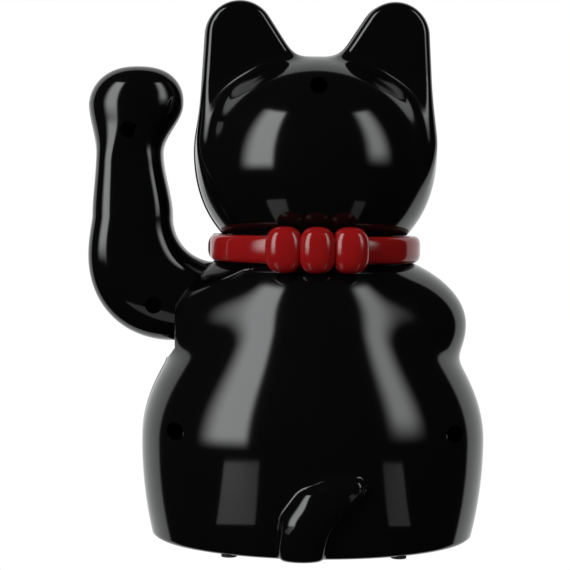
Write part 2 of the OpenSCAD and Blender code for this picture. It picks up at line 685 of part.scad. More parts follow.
module collar_band(side) {
    intersection() {
        translate([0, 0, collar_z]) scale([1, (neck_d + 3.8) / (neck_w + 4.4), 1])
            rotate_extrude($fn = 96) translate([neck_w + 0.25, 0]) intersection() {
                translate([-8.2, 0]) circle(r = 12.3, $fn = 64);
                translate([0, -collar_h / 2]) square([6, collar_h]);
            }
        block([-40, side > 0 ? seam : -40, collar_z - 10], [40, side > 0 ? 40 : -seam, collar_z + 10]);
    }
}
module collar_back() {
    color("crimson") union() {
        collar_band(1);
        difference() {
            for (i = [-1 : 1]) translate([i * 8.4, neck_d + 2.4 - abs(i) * 0.8, collar_z])
                scale([0.88, 0.85, 1]) sphere(r = 5.6);
            translate([0, 0, collar_z - 10]) scale([1, neck_d / neck_w, 1])
                cylinder(r = neck_w + 0.3, h = 20);
        }
    }
}
module collar_front() {
    color("crimson") union() {
        collar_band(-1);
        rod_x(2.1, -1.2, 1.2, -neck_d - 4.4, collar_z - 4);
    }
}
module collar_bell() {
    color("gold") translate(bell_at) difference() {
        sphere(r = bell_r);
        block([-bell_r * 0.8, -bell_r * 1.2, -bell_r * 0.55], [bell_r * 0.8, -bell_r * 0.5, -bell_r * 0.35]);
    }
}
module koban_coin() {
    color("gold") {
        translate([coin_place.x, coin_place.y, coin_place.z]) rotate(axis_y)
            scale([coin_w / coin_l, 1, 1]) difference() {
                cylinder(r = coin_l / 2, h = coin_t);
                translate([0, 0, -tiny]) difference() {
                    cylinder(r = coin_l / 2 - 2.2, h = 0.6);
                    cylinder(r = coin_l / 2 - 3.4, h = 2);
                }
            }
        for (z = coin_peg_z) rod_y(coin_peg_r, coin_place.y + coin_t - tiny, coin_place.y + 8,
                                   coin_place.x, z);
    }
}

back_shell();
front_shell();
base_plate();
battery_door();
foot_pads();
shell_screws();
base_screws();
arm_back_shell();
arm_front_shell();
arm_screws();
arm_hub();
arm_shaft();
shaft_bushes();
shaft_clip();
mechanism_frame();
frame_screws();
pendulum_lever();
counterweight();
pendulum_magnet();
coil_bobbin();
coil_winding();
circuit_board();
transistor();
capacitor();
resistor();
battery_cell();
contact_plate();
contact_spring();
switch_body();
switch_slider();
positive_wire();
negative_wire();
collar_back();
collar_front();
collar_bell();
koban_coin();
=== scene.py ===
"""Looks of the waving cat figurine: glossy moulded shells, red collar, gilt coin and bell.

The outer form is the same set of rounded masses as the CAD model's, here sampled finely.
Lengths inside the form functions are in millimetres; objects are in metres.
"""

import json
import math

import bpy
import numpy as np
from mathutils import Matrix, Vector


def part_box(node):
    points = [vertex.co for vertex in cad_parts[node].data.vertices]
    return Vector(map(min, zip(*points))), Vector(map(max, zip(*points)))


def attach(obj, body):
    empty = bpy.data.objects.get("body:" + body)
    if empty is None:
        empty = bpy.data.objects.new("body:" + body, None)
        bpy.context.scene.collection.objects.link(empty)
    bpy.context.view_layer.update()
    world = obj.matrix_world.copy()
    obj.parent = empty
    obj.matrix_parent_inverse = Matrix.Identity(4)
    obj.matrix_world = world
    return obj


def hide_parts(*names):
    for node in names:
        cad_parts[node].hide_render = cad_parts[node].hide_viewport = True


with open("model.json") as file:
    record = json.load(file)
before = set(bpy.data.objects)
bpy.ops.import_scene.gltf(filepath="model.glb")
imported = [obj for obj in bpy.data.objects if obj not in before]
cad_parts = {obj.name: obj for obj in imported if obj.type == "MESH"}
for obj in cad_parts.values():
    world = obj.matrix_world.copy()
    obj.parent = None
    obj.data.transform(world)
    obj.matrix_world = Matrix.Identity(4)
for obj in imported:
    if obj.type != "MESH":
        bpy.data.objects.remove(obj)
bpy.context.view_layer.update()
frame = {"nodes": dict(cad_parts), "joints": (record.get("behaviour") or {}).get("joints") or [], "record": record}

MM = 0.001


def box_mm(node):
    low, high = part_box(node)
    return np.array(low) / MM, np.array(high) / MM


def joint(name):
    return next(j for j in frame["joints"] if j["name"] == name)


# ---- Driving dimensions, from the frame ----

BODY_LOW = box_mm("back_shell")[0]
COLLAR_HIGH = box_mm("collar_back")[1]
BAND_HIGH = box_mm("collar_front")[1]
ARM_LOW = box_mm("arm_back_shell")[0]
SCREW_LOW, SCREW_HIGH = box_mm("shell_screws")
ARM_SCREW_LOW, ARM_SCREW_HIGH = box_mm("arm_screws")
COIN_LOW, COIN_HIGH = box_mm("koban_coin")
BELL_LOW, BELL_HIGH = box_mm("collar_bell")

RIM_Z = BODY_LOW[2]
PIVOT_Z = joint("arm_swing")["pos_m"][2] / MM
STUB_X = ARM_LOW[0]
WALL = 2.0
ARM_WALL = 1.8
HEAD_Z = 105.0
HEAD_W = 33.5
HEAD_D = 28.0
NECK_W = 25.2
NECK_D = 22.4
COLLAR_H = 7.5
COLLAR_Z = (BAND_HIGH[2] * 2 - COLLAR_H) / 2
GROOVE_LOW = COLLAR_Z - COLLAR_H / 2 - 0.1
GROOVE_TOP = COLLAR_Z + COLLAR_H / 2 + 0.1
# Each half stops this far from the middle plane; the front half stands proud of the back half by LIP
SEAM_GAP = 0.04
SEAM_ROUND = 0.4
RIM_ROUND = 0.6
LIP = 0.45
LIP_DEPTH = 4.0
COLLAR_LIP = 0.5
COLLAR_LIP_DEPTH = 1.1


# ---- The outer form ----

def soft_min(a, b, k):
    h = np.maximum(k - np.abs(a - b), 0) / k
    return np.minimum(a, b) - h ** 3 * k / 6


def mass(p, centre, radii, low=None):
    """Signed distance to an ellipsoid that has its own radius below the middle."""
    q = p - np.array(centre, float)
    r = np.empty_like(q)
    r[:] = radii
    if low:
        r[:, 2] = np.where(q[:, 2] < 0, low, radii[2])
    k0 = np.linalg.norm(q / r, axis=1)
    k1 = np.linalg.norm(q / r ** 2, axis=1)
    return np.where(k0 < 1e-6, -min(radii), k0 * (k0 - 1) / np.maximum(k1, 1e-9))


def limb(p, a, b, ra, rb, flat=1.0):
    """Signed distance to a round cone from a to b, thinned along Y by flat."""
    a, b = np.array(a, float), np.array(b, float)
    squeeze = np.array([1, 1 / flat, 1])
    pa = (p - a) * squeeze
    ba = (b - a) * squeeze
    l2 = ba @ ba
    rr = ra - rb
    a2 = l2 - rr * rr
    y = pa @ ba
    z = y - l2
    x2 = ((pa * l2 - np.outer(y, ba)) ** 2).sum(axis=1)
    y2 = y * y * l2
    z2 = z * z * l2
    k = np.sign(rr) * rr * rr * x2
    side = (np.sqrt(x2 * a2 / l2) + y * rr) / l2 - ra
    far = np.sqrt(x2 + z2) / l2 - rb
    near = np.sqrt(x2 + y2) / l2 - ra
    d = np.where(np.sign(z) * a2 * z2 > k, far, np.where(np.sign(y) * a2 * y2 < k, near, side))
    return d * (flat + 1) / 2


# X, Y, Z and radius of the balls that the tail's links join
TAIL_CHAIN = ((3.4, 35.4, -3, 5.3), (3.4, 36.8, 4.3, 5.7), (2.4, 37.5, 10, 6.1),
              (-0.4, 37.8, 14.6, 5.8), (-4.9, 37.8, 17.9, 4.6), (-10.2, 38, 20.4, 2.5))
EAR_ROUND = 2.6


def tail_form(p):
    d = None
    for a, b in zip(TAIL_CHAIN[:-1], TAIL_CHAIN[1:]):
        link = limb(p, a[:3], b[:3], a[3], b[3], 0.65)
        d = link if d is None else soft_min(link, d, 3)
    return d


def body_form(p):
    """Everything below the neck but the raised arm."""
    m = np.column_stack([np.abs(p[:, 0]), p[:, 1], p[:, 2]])
    hips = mass(p, [0, 2, 28], [48, 36.5, 40.5], 75)
    torso = mass(p, [0, 2, 46], [35.5, 30, 44])
    belly = mass(p, [0, -11, 34], [29, 24.5, 31])
    shoulders = mass(p, [0, 0, 60.5], [42.9, 27, 22.5], 27.8)
    thigh = limb(m, [31, -14, 19], [24, -31, 9.5], 15.5, 9.5)
    foot = mass(m, [22, -34, 7], [12, 10.5, 9], 14)
    forearm = limb(p, [-33, -9, 58], [-18, -31, 50], 10.5, 8.5)
    trunk = soft_min(soft_min(hips, torso, 14), belly, 8)
    legs = soft_min(soft_min(trunk, thigh, 5), foot, 2)
    upper = soft_min(soft_min(legs, shoulders, 4), forearm, 3)
    return soft_min(upper, tail_form(p), 1)


def slab(outline, height, r):
    """A flat form of the given outline and height, with its edges rounded."""
    u, v = outline + r, height + r
    return np.hypot(np.maximum(u, 0), np.maximum(v, 0)) + np.minimum(np.maximum(u, v), 0) - r


def head_form(p):
    """The skull, the slab ears, which thicken downwards, and the muzzle."""
    m = np.column_stack([np.abs(p[:, 0]), p[:, 1], p[:, 2]])
    skull = mass(p, [0, -1, HEAD_Z], [HEAD_W, HEAD_D, 30.3], 30.7)
    outline = limb(m * [1, 0, 1], [14, 0, 112], [21.6, 0, 140.7], 18.9, 9.6)
    u = np.clip((130 - p[:, 2]) / 20, 0, 1)
    thick = 4.6 + 5 * u * u * (3 - 2 * u)
    ear = slab(outline, np.abs(p[:, 1] - 1) - thick, EAR_ROUND)
    muzzle = mass(p, [0, -25, 95], [13, 7.5, 8])
    return soft_min(soft_min(skull, ear, 6), muzzle, 6)


def cat_form(p):
    return soft_min(body_form(p), head_form(p), 2)


def reach(form, origin, direction, inset):
    """Where rays from origin meet the form's surface, moved in by inset."""
    low = np.full(len(origin), 2.0)
    high = np.full(len(origin), 70.0)
    for _ in range(26):
        r = (low + high) / 2
        inside = form(origin + direction * r[:, None]) + inset < 0
        low = np.where(inside, r, low)
        high = np.where(inside, high, r)
    return origin + direction * ((low + high) / 2)[:, None]


def slopes(form, p):
    """Unit outward normals of the form at p."""
    step = 0.02
    n = np.column_stack([form(p + step * axis) - form(p - step * axis) for axis in np.eye(3)])
    return n / np.linalg.norm(n, axis=1)[:, None]


# ---- Meshes from grids of points ----

def zipper(a, b):
    """Triangles between two strips of vertex numbers that run side by side."""
    faces, i, j = [], 0, 0
    while i < len(a) - 1 or j < len(b) - 1:
        if j == len(b) - 1 or (i < len(a) - 1 and (i + 1) / (len(a) - 1) <= (j + 1) / (len(b) - 1)):
            faces.append((a[i], b[j], a[i + 1]))
            i += 1
        else:
            faces.append((a[i], b[j], b[j + 1]))
            j += 1
    return faces


def grid_faces(at, rows, cols, pole=None):
    faces = []
    for i in range(rows - 1):
        for j in range(cols - 1):
            a = at + i * cols + j
            faces.append((a, a + cols, a + cols + 1, a + 1))
    if pole is not None:
        a = at + (rows - 1) * cols
        faces += [(a + j, pole, a + j + 1) for j in range(cols - 1)]
    return faces


def flipped(faces):
    return [tuple(reversed(f)) for f in faces]


def make_object(name, points, faces, flip=False):
    mesh = bpy.data.meshes.new(name)
    mesh.from_pydata([tuple(p) for p in np.asarray(points) * MM], [],
                     flipped(faces) if flip else faces)
    mesh.validate()
    mesh.update()
    obj = bpy.data.objects.new(name, mesh)
    bpy.context.scene.collection.objects.link(obj)
    return obj


def half_hollow(name, outer, inner, outer_pole, inner_pole, side):
    """Half a hollow form from two grids of rows that run up to a pole, closed along the seam."""
    ro, co = outer.shape[:2]
    ri, ci = inner.shape[:2]
    at = ro * co
    top_out, top_in = at + ri * ci, at + ri * ci + 1
    points = np.vstack([outer.reshape(-1, 3), inner.reshape(-1, 3), [outer_pole], [inner_pole]])
    right_out = [i * co for i in range(ro)] + [top_out]
    right_in = [at + i * ci for i in range(ri)] + [top_in]
    left_out = [i * co + co - 1 for i in range(ro)] + [top_out]
    left_in = [at + i * ci + ci - 1 for i in range(ri)] + [top_in]
    faces = grid_faces(0, ro, co, top_out) + flipped(grid_faces(at, ri, ci, top_in))
    faces += zipper(right_out, right_in)
    faces += flipped(zipper(left_out, left_in))
    faces += flipped(zipper(list(range(co)), [at + j for j in range(ci)]))
    return make_object(name, points, flipped(faces), flip=side < 0)


def seam_shape(p, normals, side, edge_round, lip):
    """Rounds the edge at the seam and lets the front half stand proud of the back half."""
    s = np.abs(p[:, 1])
    inward = np.where(s < edge_round,
                      edge_round - np.sqrt(np.maximum(edge_round ** 2 - (edge_round - s) ** 2, 0)), 0)
    if side < 0:
        proud = lip * (0.1 + 0.9 * np.clip(normals[:, 0], 0, 1) ** 0.5)
        inward = inward - proud * np.clip(1 - s / LIP_DEPTH, 0, 1) ** 2
    out = p - normals * inward[:, None]
    out[:, 1] = side * np.maximum(np.abs(out[:, 1]), SEAM_GAP)
    return out


def columns(count, fine):
    """Angles from seam to seam, bunched against the seam at both ends."""
    edge = 1.1 * (np.arange(fine) / fine) ** 1.6
    return np.radians(np.concatenate([edge, np.linspace(1.1, 178.9, count), 180 - edge[::-1]]))


def level_rows(form, heights, angles, side, inset):
    """Rows at the given heights, one ray for each angle from the upright axis."""
    z, t = np.meshgrid(heights, angles, indexing="ij")
    origin = np.column_stack([np.zeros(z.size), np.zeros(z.size), z.ravel()])
    out = np.column_stack([np.cos(t).ravel(), side * np.sin(t).ravel(), np.zeros(z.size)])
    return reach(form, origin, out, inset)


def dome_rows(form, lifts, angles, side, inset):
    """Rows over the crown, one ray for each angle from the middle of the head."""
    e, t = np.meshgrid(np.radians(lifts), angles, indexing="ij")
    origin = np.tile([0.0, 0.0, HEAD_Z], (e.size, 1))
    out = np.column_stack([(np.cos(t) * np.cos(e)).ravel(), (side * np.sin(t) * np.cos(e)).ravel(),
                           np.sin(e).ravel()])
    return reach(form, origin, out, inset)


def groove_rows(heights, angles, side, inset):
    """The groove that the collar lies in; the front half has a black lip beside the collar."""
    rows = []
    for z in heights:
        x = (NECK_W - inset) * np.cos(angles)
        y = (NECK_D - inset) * np.sin(angles)
        if side < 0 and inset == 0:
            near = (np.abs(y) < COLLAR_LIP_DEPTH) & (x > 0)
            bulge = COLLAR_LIP - 1.6 * abs((z - COLLAR_Z) / (COLLAR_H / 2)) ** 3
            x = np.where(near, COLLAR_HIGH[0] + bulge, x)
        rows.append(np.column_stack([x, side * y, np.full(len(x), z)]))
    return np.vstack(rows)


def shell_grid(side, inset, step, angles):
    n_low = int((GROOVE_LOW - inset - RIM_Z) / step)
    n_high = int((HEAD_Z - GROOVE_TOP - inset) / step)
    rim = RIM_Z + np.linspace(0, GROOVE_LOW - inset - RIM_Z, n_low)
    neck = np.concatenate([[GROOVE_LOW - inset + 0.03],
                           np.linspace(GROOVE_LOW - inset + 0.3, GROOVE_TOP + inset - 0.3, 12),
                           [GROOVE_TOP + inset - 0.03]])
    head = np.linspace(GROOVE_TOP + inset, HEAD_Z, n_high)
    lifts = np.linspace(0, 90, int(95 / step))[1:-1]
    parts = [level_rows(cat_form, rim, angles, side, inset),
             groove_rows(neck, angles, side, inset),
             level_rows(cat_form, head, angles, side, inset),
             dome_rows(cat_form, lifts, angles, side, inset)]
    return np.vstack(parts), len(angles)


def body_shell(name, side, step):
    angles = columns(int(150 / step), 10)
    points, cols = shell_grid(side, 0, step, angles)
    normals = slopes(cat_form, points)
    z = points[:, 2]
    in_groove = (z > GROOVE_LOW) & (z < GROOVE_TOP)
    shaped = seam_shape(points, normals, side, SEAM_ROUND, LIP)
    shaped[in_groove] = points[in_groove]
    shaped[:, 1] = side * np.maximum(np.abs(shaped[:, 1]), SEAM_GAP)
    outer = round_rim(shaped, normals).reshape(-1, cols, 3)
    inside = np.radians(np.linspace(0, 180, 60))
    inner_points, inner_cols = shell_grid(side, WALL, 2.5, inside)
    inner_points[:, 1] = side * np.maximum(np.abs(inner_points[:, 1]), SEAM_GAP)
    inner = inner_points.reshape(-1, inner_cols, 3)
    crown = reach(cat_form, np.array([[0, 0, HEAD_Z]]), np.array([[0, 0, 1.0]]), 0)[0]
    crown[2] -= SEAM_ROUND if side > 0 else SEAM_ROUND - LIP
    crown[1] = side * SEAM_GAP
    low_crown = crown - [0, 0, WALL]
    return half_hollow(name, outer, inner, crown, low_crown, side)


def round_rim(p, normals):
    """Rounds the open lower edge."""
    h = p[:, 2] - RIM_Z
    inward = np.where(h < RIM_ROUND,
                      RIM_ROUND - np.sqrt(np.maximum(RIM_ROUND ** 2 - (RIM_ROUND - h) ** 2, 0)), 0)
    flat = normals * [1, 1, 0]
    flat = flat / np.maximum(np.linalg.norm(flat, axis=1), 1e-6)[:, None]
    return p - flat * inward[:, None]


# ---- Small closed solids ----

def merged(parts):
    """One point array and one face list from several (points, faces) pairs."""
    points, faces, at = [], [], 0
    for p, f in parts:
        points.append(np.asarray(p, float))
        faces += [tuple(at + i for i in face) for face in f]
        at += len(p)
    return np.vstack(points), faces


def tube_loop(rings):
    """A ring-shaped solid: each ring joins the next one and the last joins the first."""
    n, count = len(rings[0]), len(rings)
    faces = []
    for i in range(count):
        for j in range(n):
            a, b = i * n, ((i + 1) % count) * n
            faces.append((a + j, a + (j + 1) % n, b + (j + 1) % n, b + j))
    return np.vstack(rings), faces


def capped(rings):
    """A solid swept through closed rings, with a fan over each end."""
    n, count = len(rings[0]), len(rings)
    points = np.vstack(list(rings) + [[np.mean(rings[0], axis=0)], [np.mean(rings[-1], axis=0)]])
    faces = []
    for i in range(count - 1):
        for j in range(n):
            a, b = i * n, (i + 1) * n
            faces.append((a + j, a + (j + 1) % n, b + (j + 1) % n, b + j))
    first, last = count * n, count * n + 1
    faces += [(first, (j + 1) % n, j) for j in range(n)]
    top = (count - 1) * n
    faces += [(last, top + j, top + (j + 1) % n) for j in range(n)]
    return points, faces


def circle(centre, u, v, ru, rv, n):
    t = np.linspace(0, 2 * np.pi, n, endpoint=False)[:, None]
    u, v = np.array(u, float), np.array(v, float)
    return np.array(centre, float) + ru * np.cos(t) * u + rv * np.sin(t) * v


def rod(a, b, radius, n=48):
    a, b = np.array(a, float), np.array(b, float)
    w = (b - a) / np.linalg.norm(b - a)
    u = np.cross(w, [0, 0, 1.0] if abs(w[2]) < 0.9 else [1.0, 0, 0])
    u /= np.linalg.norm(u)
    v = np.cross(w, u)
    return capped([circle(a, u, v, radius, radius, n), circle(b, u, v, radius, radius, n)])


def wire(route, radius, n=16):
    """A round wire along a route, turned as little as possible from ring to ring."""
    route = np.asarray(route, float)
    ways = np.gradient(route, axis=0)
    ways /= np.linalg.norm(ways, axis=1)[:, None]
    u = np.cross(ways[0], [0.3, 0.5, 0.81])
    rings = []
    for point, way in zip(route, ways):
        u = u - way * (u @ way)
        u = u / np.linalg.norm(u)
        rings.append(circle(point, u, np.cross(way, u), radius, radius, n))
    return capped(rings)


def cut(obj, parts):
    """Takes closed solids out of an object and keeps the result as its mesh."""
    cutter = make_object("cutter", *merged(parts))
    change = obj.modifiers.new("cut", "BOOLEAN")
    change.operation = "DIFFERENCE"
    change.solver = "MANIFOLD"
    change.object = cutter
    graph = bpy.context.evaluated_depsgraph_get()
    mesh = bpy.data.meshes.new_from_object(obj.evaluated_get(graph))
    obj.modifiers.clear()
    obj.data = mesh
    bpy.data.objects.remove(cutter)


def added(obj, parts):
    """Adds solids to an object's mesh."""
    points = np.array([v.co for v in obj.data.vertices]) / MM
    faces = [tuple(f.vertices) for f in obj.data.polygons]
    mesh = bpy.data.meshes.new(obj.name)
    points, faces = merged([(points, faces)] + parts)
    mesh.from_pydata([tuple(p) for p in points * MM], [], faces)
    mesh.update()
    obj.data = mesh


# ---- Materials ----

def new_material(name):
    mat = bpy.data.materials.new(name)
    mat.use_nodes = True
    nodes = mat.node_tree.nodes
    return mat, mat.node_tree, nodes["Principled BSDF"]


def procedural(name, colour, rough, metallic=0.0, vary=0.15, grain=600, bump=0.0, wave=0):
    """A material whose tint and roughness follow noise in object space, and its relief noise or bands."""
    mat, tree, shader = new_material(name)
    nodes, links = tree.nodes, tree.links
    coords = nodes.new("ShaderNodeTexCoord")
    noise = nodes.new("ShaderNodeTexNoise")
    noise.inputs["Scale"].default_value = grain
    noise.inputs["Detail"].default_value = 3
    links.new(coords.outputs["Object"], noise.inputs["Vector"])
    ramp = nodes.new("ShaderNodeValToRGB")
    ramp.color_ramp.elements[0].position = 0.3
    ramp.color_ramp.elements[1].position = 0.7
    ramp.color_ramp.elements[0].color = (*[c * (1 - vary) for c in colour], 1)
    ramp.color_ramp.elements[1].color = (*[min(c * (1 + vary), 1) for c in colour], 1)
    links.new(noise.outputs["Fac"], ramp.inputs["Fac"])
    links.new(ramp.outputs["Color"], shader.inputs["Base Color"])
    spread = nodes.new("ShaderNodeMapRange")
    spread.inputs["To Min"].default_value = rough * (1 - vary)
    spread.inputs["To Max"].default_value = rough * (1 + vary)
    links.new(noise.outputs["Fac"], spread.inputs["Value"])
    links.new(spread.outputs["Result"], shader.inputs["Roughness"])
    shader.inputs["Metallic"].default_value = metallic
    if bump:
        relief = nodes.new("ShaderNodeBump")
        relief.inputs["Strength"].default_value = bump
        relief.inputs["Distance"].default_value = 0.0001
        height = noise.outputs["Fac"]
        if wave:
            bands = nodes.new("ShaderNodeTexWave")
            bands.bands_direction = "Z"
            bands.inputs["Scale"].default_value = wave
            links.new(coords.outputs["Object"], bands.inputs["Vector"])
            height = bands.outputs["Fac"]
        links.new(height, relief.inputs["Height"])
        links.new(relief.outputs["Normal"], shader.inputs["Normal"])
    return mat


def painted(obj, material):
    obj.data.materials.clear()
    obj.data.materials.append(material)


def finish(obj, material, body, replaced=None, angle=50):
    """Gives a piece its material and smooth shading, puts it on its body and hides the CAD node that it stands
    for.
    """
    painted(obj, material)
    obj.data.shade_smooth()
    obj.data.set_sharp_from_angle(angle=math.radians(angle))
    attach(obj, body)
    if replaced:
        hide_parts(replaced)


black = procedural("black_gloss", (0.0035, 0.0035, 0.0037), 0.085, vary=0.06, grain=90)
red = procedural("collar_gloss", (0.42, 0.011, 0.011), 0.09, vary=0.05, grain=120)
gold = procedural("gold_plate", (0.83, 0.56, 0.19), 0.2, metallic=1.0, vary=0.03, grain=1400, bump=0.03)
white_paint = procedural("eye_white", (0.82, 0.80, 0.74), 0.3, vary=0.03, grain=800, bump=0.05)
pink_paint = procedural("ear_red", (0.52, 0.03, 0.025), 0.3, vary=0.08, grain=800, bump=0.05)
dark_paint = procedural("pupil_black", (0.004, 0.004, 0.004), 0.12, vary=0.1, grain=800)

# Name, colour, roughness, metal, grain, relief and bands per metre for each slot of the CAD nodes
CAD_LOOKS = {
    "black_abs": ("black_inner", (0.006, 0.006, 0.006), 0.3, 0.0, 900, 0.1, 0),
    "base_abs": ("base_satin", (0.010, 0.010, 0.010), 0.42, 0.0, 1400, 0.3, 0),
    "collar_red": ("collar_inner", (0.30, 0.0085, 0.0085), 0.12, 0.0, 400, 0.05, 0),
    "gold_plating": ("gold_inner", (0.83, 0.56, 0.19), 0.22, 1.0, 500, 0.05, 0),
    "frame_abs": ("frame_ivory", (0.62, 0.59, 0.50), 0.45, 0.0, 1200, 0.25, 0),
    "steel": ("zinc_steel", (0.55, 0.55, 0.53), 0.28, 1.0, 1500, 0.15, 0),
    "weight_steel": ("weight_grey", (0.32, 0.32, 0.33), 0.38, 1.0, 1100, 0.3, 0),
    "magnet": ("magnet_nickel", (0.42, 0.41, 0.40), 0.25, 1.0, 700, 0.1, 0),
    "bush_brass": ("bush_brass", (0.72, 0.50, 0.20), 0.3, 1.0, 900, 0.1, 0),
    "bobbin_white": ("bobbin_white", (0.75, 0.74, 0.70), 0.4, 0.0, 900, 0.1, 0),
    "copper_wire": ("copper_turns", (0.60, 0.20, 0.07), 0.3, 1.0, 900, 0.8, 900),
    "board_green": ("board_green", (0.015, 0.16, 0.045), 0.35, 0.0, 500, 0.2, 0),
    "component_black": ("component_black", (0.012, 0.012, 0.012), 0.4, 0.0, 1500, 0.2, 0),
    "capacitor_blue": ("capacitor_blue", (0.015, 0.05, 0.24), 0.25, 0.0, 900, 0.05, 0),
    "resistor_tan": ("resistor_tan", (0.55, 0.36, 0.18), 0.4, 0.0, 900, 0.1, 0),
    "cell_jacket": ("cell_jacket", (0.09, 0.10, 0.12), 0.25, 0.3, 600, 0.05, 0),
    "rubber_grey": ("pad_rubber", (0.045, 0.045, 0.047), 0.75, 0.0, 1800, 0.5, 0),
    "slider_white": ("slider_white", (0.7, 0.7, 0.68), 0.35, 0.0, 900, 0.1, 0),
    "wire_red": ("wire_red", (0.45, 0.02, 0.02), 0.4, 0.0, 1200, 0.1, 0),
    "wire_black": ("wire_black", (0.015, 0.015, 0.015), 0.4, 0.0, 1200, 0.1, 0),
}
cad_materials = {}
for slot, (name, colour, rough, metal, grain, bump, wave) in CAD_LOOKS.items():
    cad_materials[slot] = procedural(name, colour, rough, metallic=metal, vary=0.12, grain=grain,
                                     bump=bump, wave=wave)
screw_dark = procedural("screw_black_zinc", (0.02, 0.02, 0.021), 0.5, metallic=0.5, vary=0.2, grain=1500,
                        bump=0.2)
slots = {part["node"]: part["material_slot"] for part in frame["record"]["subparts"]}
for name, node in frame["nodes"].items():
    deep = name in ("shell_screws", "arm_screws")
    painted(node, screw_dark if deep else cad_materials[slots[name]])


# ---- The casing: two half shells with bosses for the screws and a cup for the arm ----

STEP = 0.62
HOLE_R = 2.35
BOSS_R = 4.2
SEAT = 5.0
BOSS_FOOT = 1.0
# From the edge of the screws' box to the middle of a hole
HOLE_INSET = 2.9
SCREW_PLACES = [(SCREW_LOW[0] + HOLE_INSET, SCREW_LOW[2] + HOLE_INSET),
                (SCREW_HIGH[0] - HOLE_INSET, SCREW_LOW[2] + HOLE_INSET),
                (0, SCREW_HIGH[2] - HOLE_INSET)]
CUP_R = 12.2
# Half width and height over the shaft of the corners where the cup widens upwards
CUP_LIP = ((13.6, 3.4), (15.0, 5.7), (16.6, 8.0), (17.4, 10.5))
CUP_FLOOR = STUB_X - 1
CUP_WALL = 1.6
# The shoulder is cut back to this X, this far round the shaft, to let the elbow swing
RELIEF_X = 38.6
RELIEF_R = 16.8
OUTSIDE = 60


def along_y(x, z, side, inset):
    """How far out the surface is along Y, from the middle plane."""
    origin = np.column_stack([x, np.zeros(len(x)), z])
    way = np.tile([0.0, side, 0.0], (len(x), 1))
    return reach(cat_form, origin, way, inset)[:, 1]


BOSS_TURN = np.linspace(0, 2 * np.pi, 40, endpoint=False)


def screw_boss(x, z, seat, mouth, rim, boss_r, shank_r):
    """A stepped tube along Y: a wide hole down to the seat of the head and a narrow one below."""

    def ring(r, y):
        return np.column_stack([x + r * np.cos(BOSS_TURN), np.zeros(len(BOSS_TURN)) + y,
                                z + r * np.sin(BOSS_TURN)])

    return tube_loop([ring(HOLE_R, seat), ring(HOLE_R, mouth), ring(boss_r, rim),
                      ring(boss_r, BOSS_FOOT), ring(shank_r, BOSS_FOOT), ring(shank_r, seat)])


def boss(x, z):
    """A screw boss whose open end follows the outer surface."""
    c, s = np.cos(BOSS_TURN), np.sin(BOSS_TURN)
    mouth = along_y(x + HOLE_R * c, z + HOLE_R * s, 1, 0.06)
    rim = along_y(x + BOSS_R * c, z + BOSS_R * s, 1, 1.0)
    return screw_boss(x, z, SEAT, mouth, rim, BOSS_R, 1.4)


def cup_outline(grow, step=0.5):
    """Half outline of the cup from its top middle to its bottom: Y and height over the shaft."""
    corners = [(0.001, CUP_LIP[-1][1])] + [(y, h) for y, h in reversed(CUP_LIP)]
    corners += [(CUP_R * math.cos(a), CUP_R * math.sin(a)) for a in np.radians(np.arange(0, -89, -3))]
    corners.append((0.001, -CUP_R))
    points = []
    for a, b in zip(corners[:-1], corners[1:]):
        n = max(int(math.dist(a, b) / step), 1)
        points += [(a[0] + (b[0] - a[0]) * k / n, a[1] + (b[1] - a[1]) * k / n) for k in range(n)]
    points = np.array(points + [corners[-1]])
    size = np.linalg.norm(points, axis=1)[:, None]
    return points * (size + grow) / size


def cup(side):
    """Half of the cup that the arm's root turns in; its mouth follows the shoulder or the relief."""

    def mouth(outline, inset):
        y, z = side * outline[:, 0], PIVOT_Z + outline[:, 1]
        origin = np.column_stack([np.zeros(len(y)), y, z])
        way = np.tile([1.0, 0.0, 0.0], (len(y), 1))
        hit = reach(cat_form, origin, way, inset)[:, 0]
        hit = np.where(np.hypot(y, z - PIVOT_Z) < RELIEF_R, np.minimum(hit, RELIEF_X), hit)
        neck = NECK_W * np.sqrt(np.maximum(1 - (y / NECK_D) ** 2, 0)) - WALL / 2
        return np.maximum(np.where(z > GROOVE_LOW - 0.5, np.minimum(hit, neck), hit), CUP_FLOOR + 0.3)

    def arc(outline, x):
        return np.column_stack([np.zeros(len(outline)) + x, side * outline[:, 0], PIVOT_Z + outline[:, 1]])

    inner, outer = cup_outline(0), cup_outline(CUP_WALL)
    rows = [arc(inner * 0.02, CUP_FLOOR), arc(inner, CUP_FLOOR), arc(inner, mouth(inner, 0.12)),
            arc(outer, mouth(outer, 1.0)), arc(outer, CUP_FLOOR - CUP_WALL),
            arc(inner * 0.02, CUP_FLOOR - CUP_WALL)]
    n = len(inner)
    faces = []
    for i in range(len(rows)):
        a, b = i * n, ((i + 1) % len(rows)) * n
        faces += [(a + j, a + j + 1, b + j + 1, b + j) for j in range(n - 1)]
    ends = range(len(rows))
    faces += [tuple(i * n for i in ends), tuple(i * n + n - 1 for i in reversed(ends))]
    points = np.vstack(rows)
    points[:, 1] = side * np.maximum(np.abs(points[:, 1]), SEAM_GAP)
    return points, faces if side > 0 else flipped(faces)


def cup_cutter():
    """A prism of the cup's room, long enough to open the casing's side."""
    half = cup_outline(0)
    around = np.vstack([half, (half * [-1, 1])[::-1]])
    return capped([np.column_stack([np.zeros(len(around)) + x, around[:, 0], PIVOT_Z + around[:, 1]])
                   for x in (CUP_FLOOR, 70)])


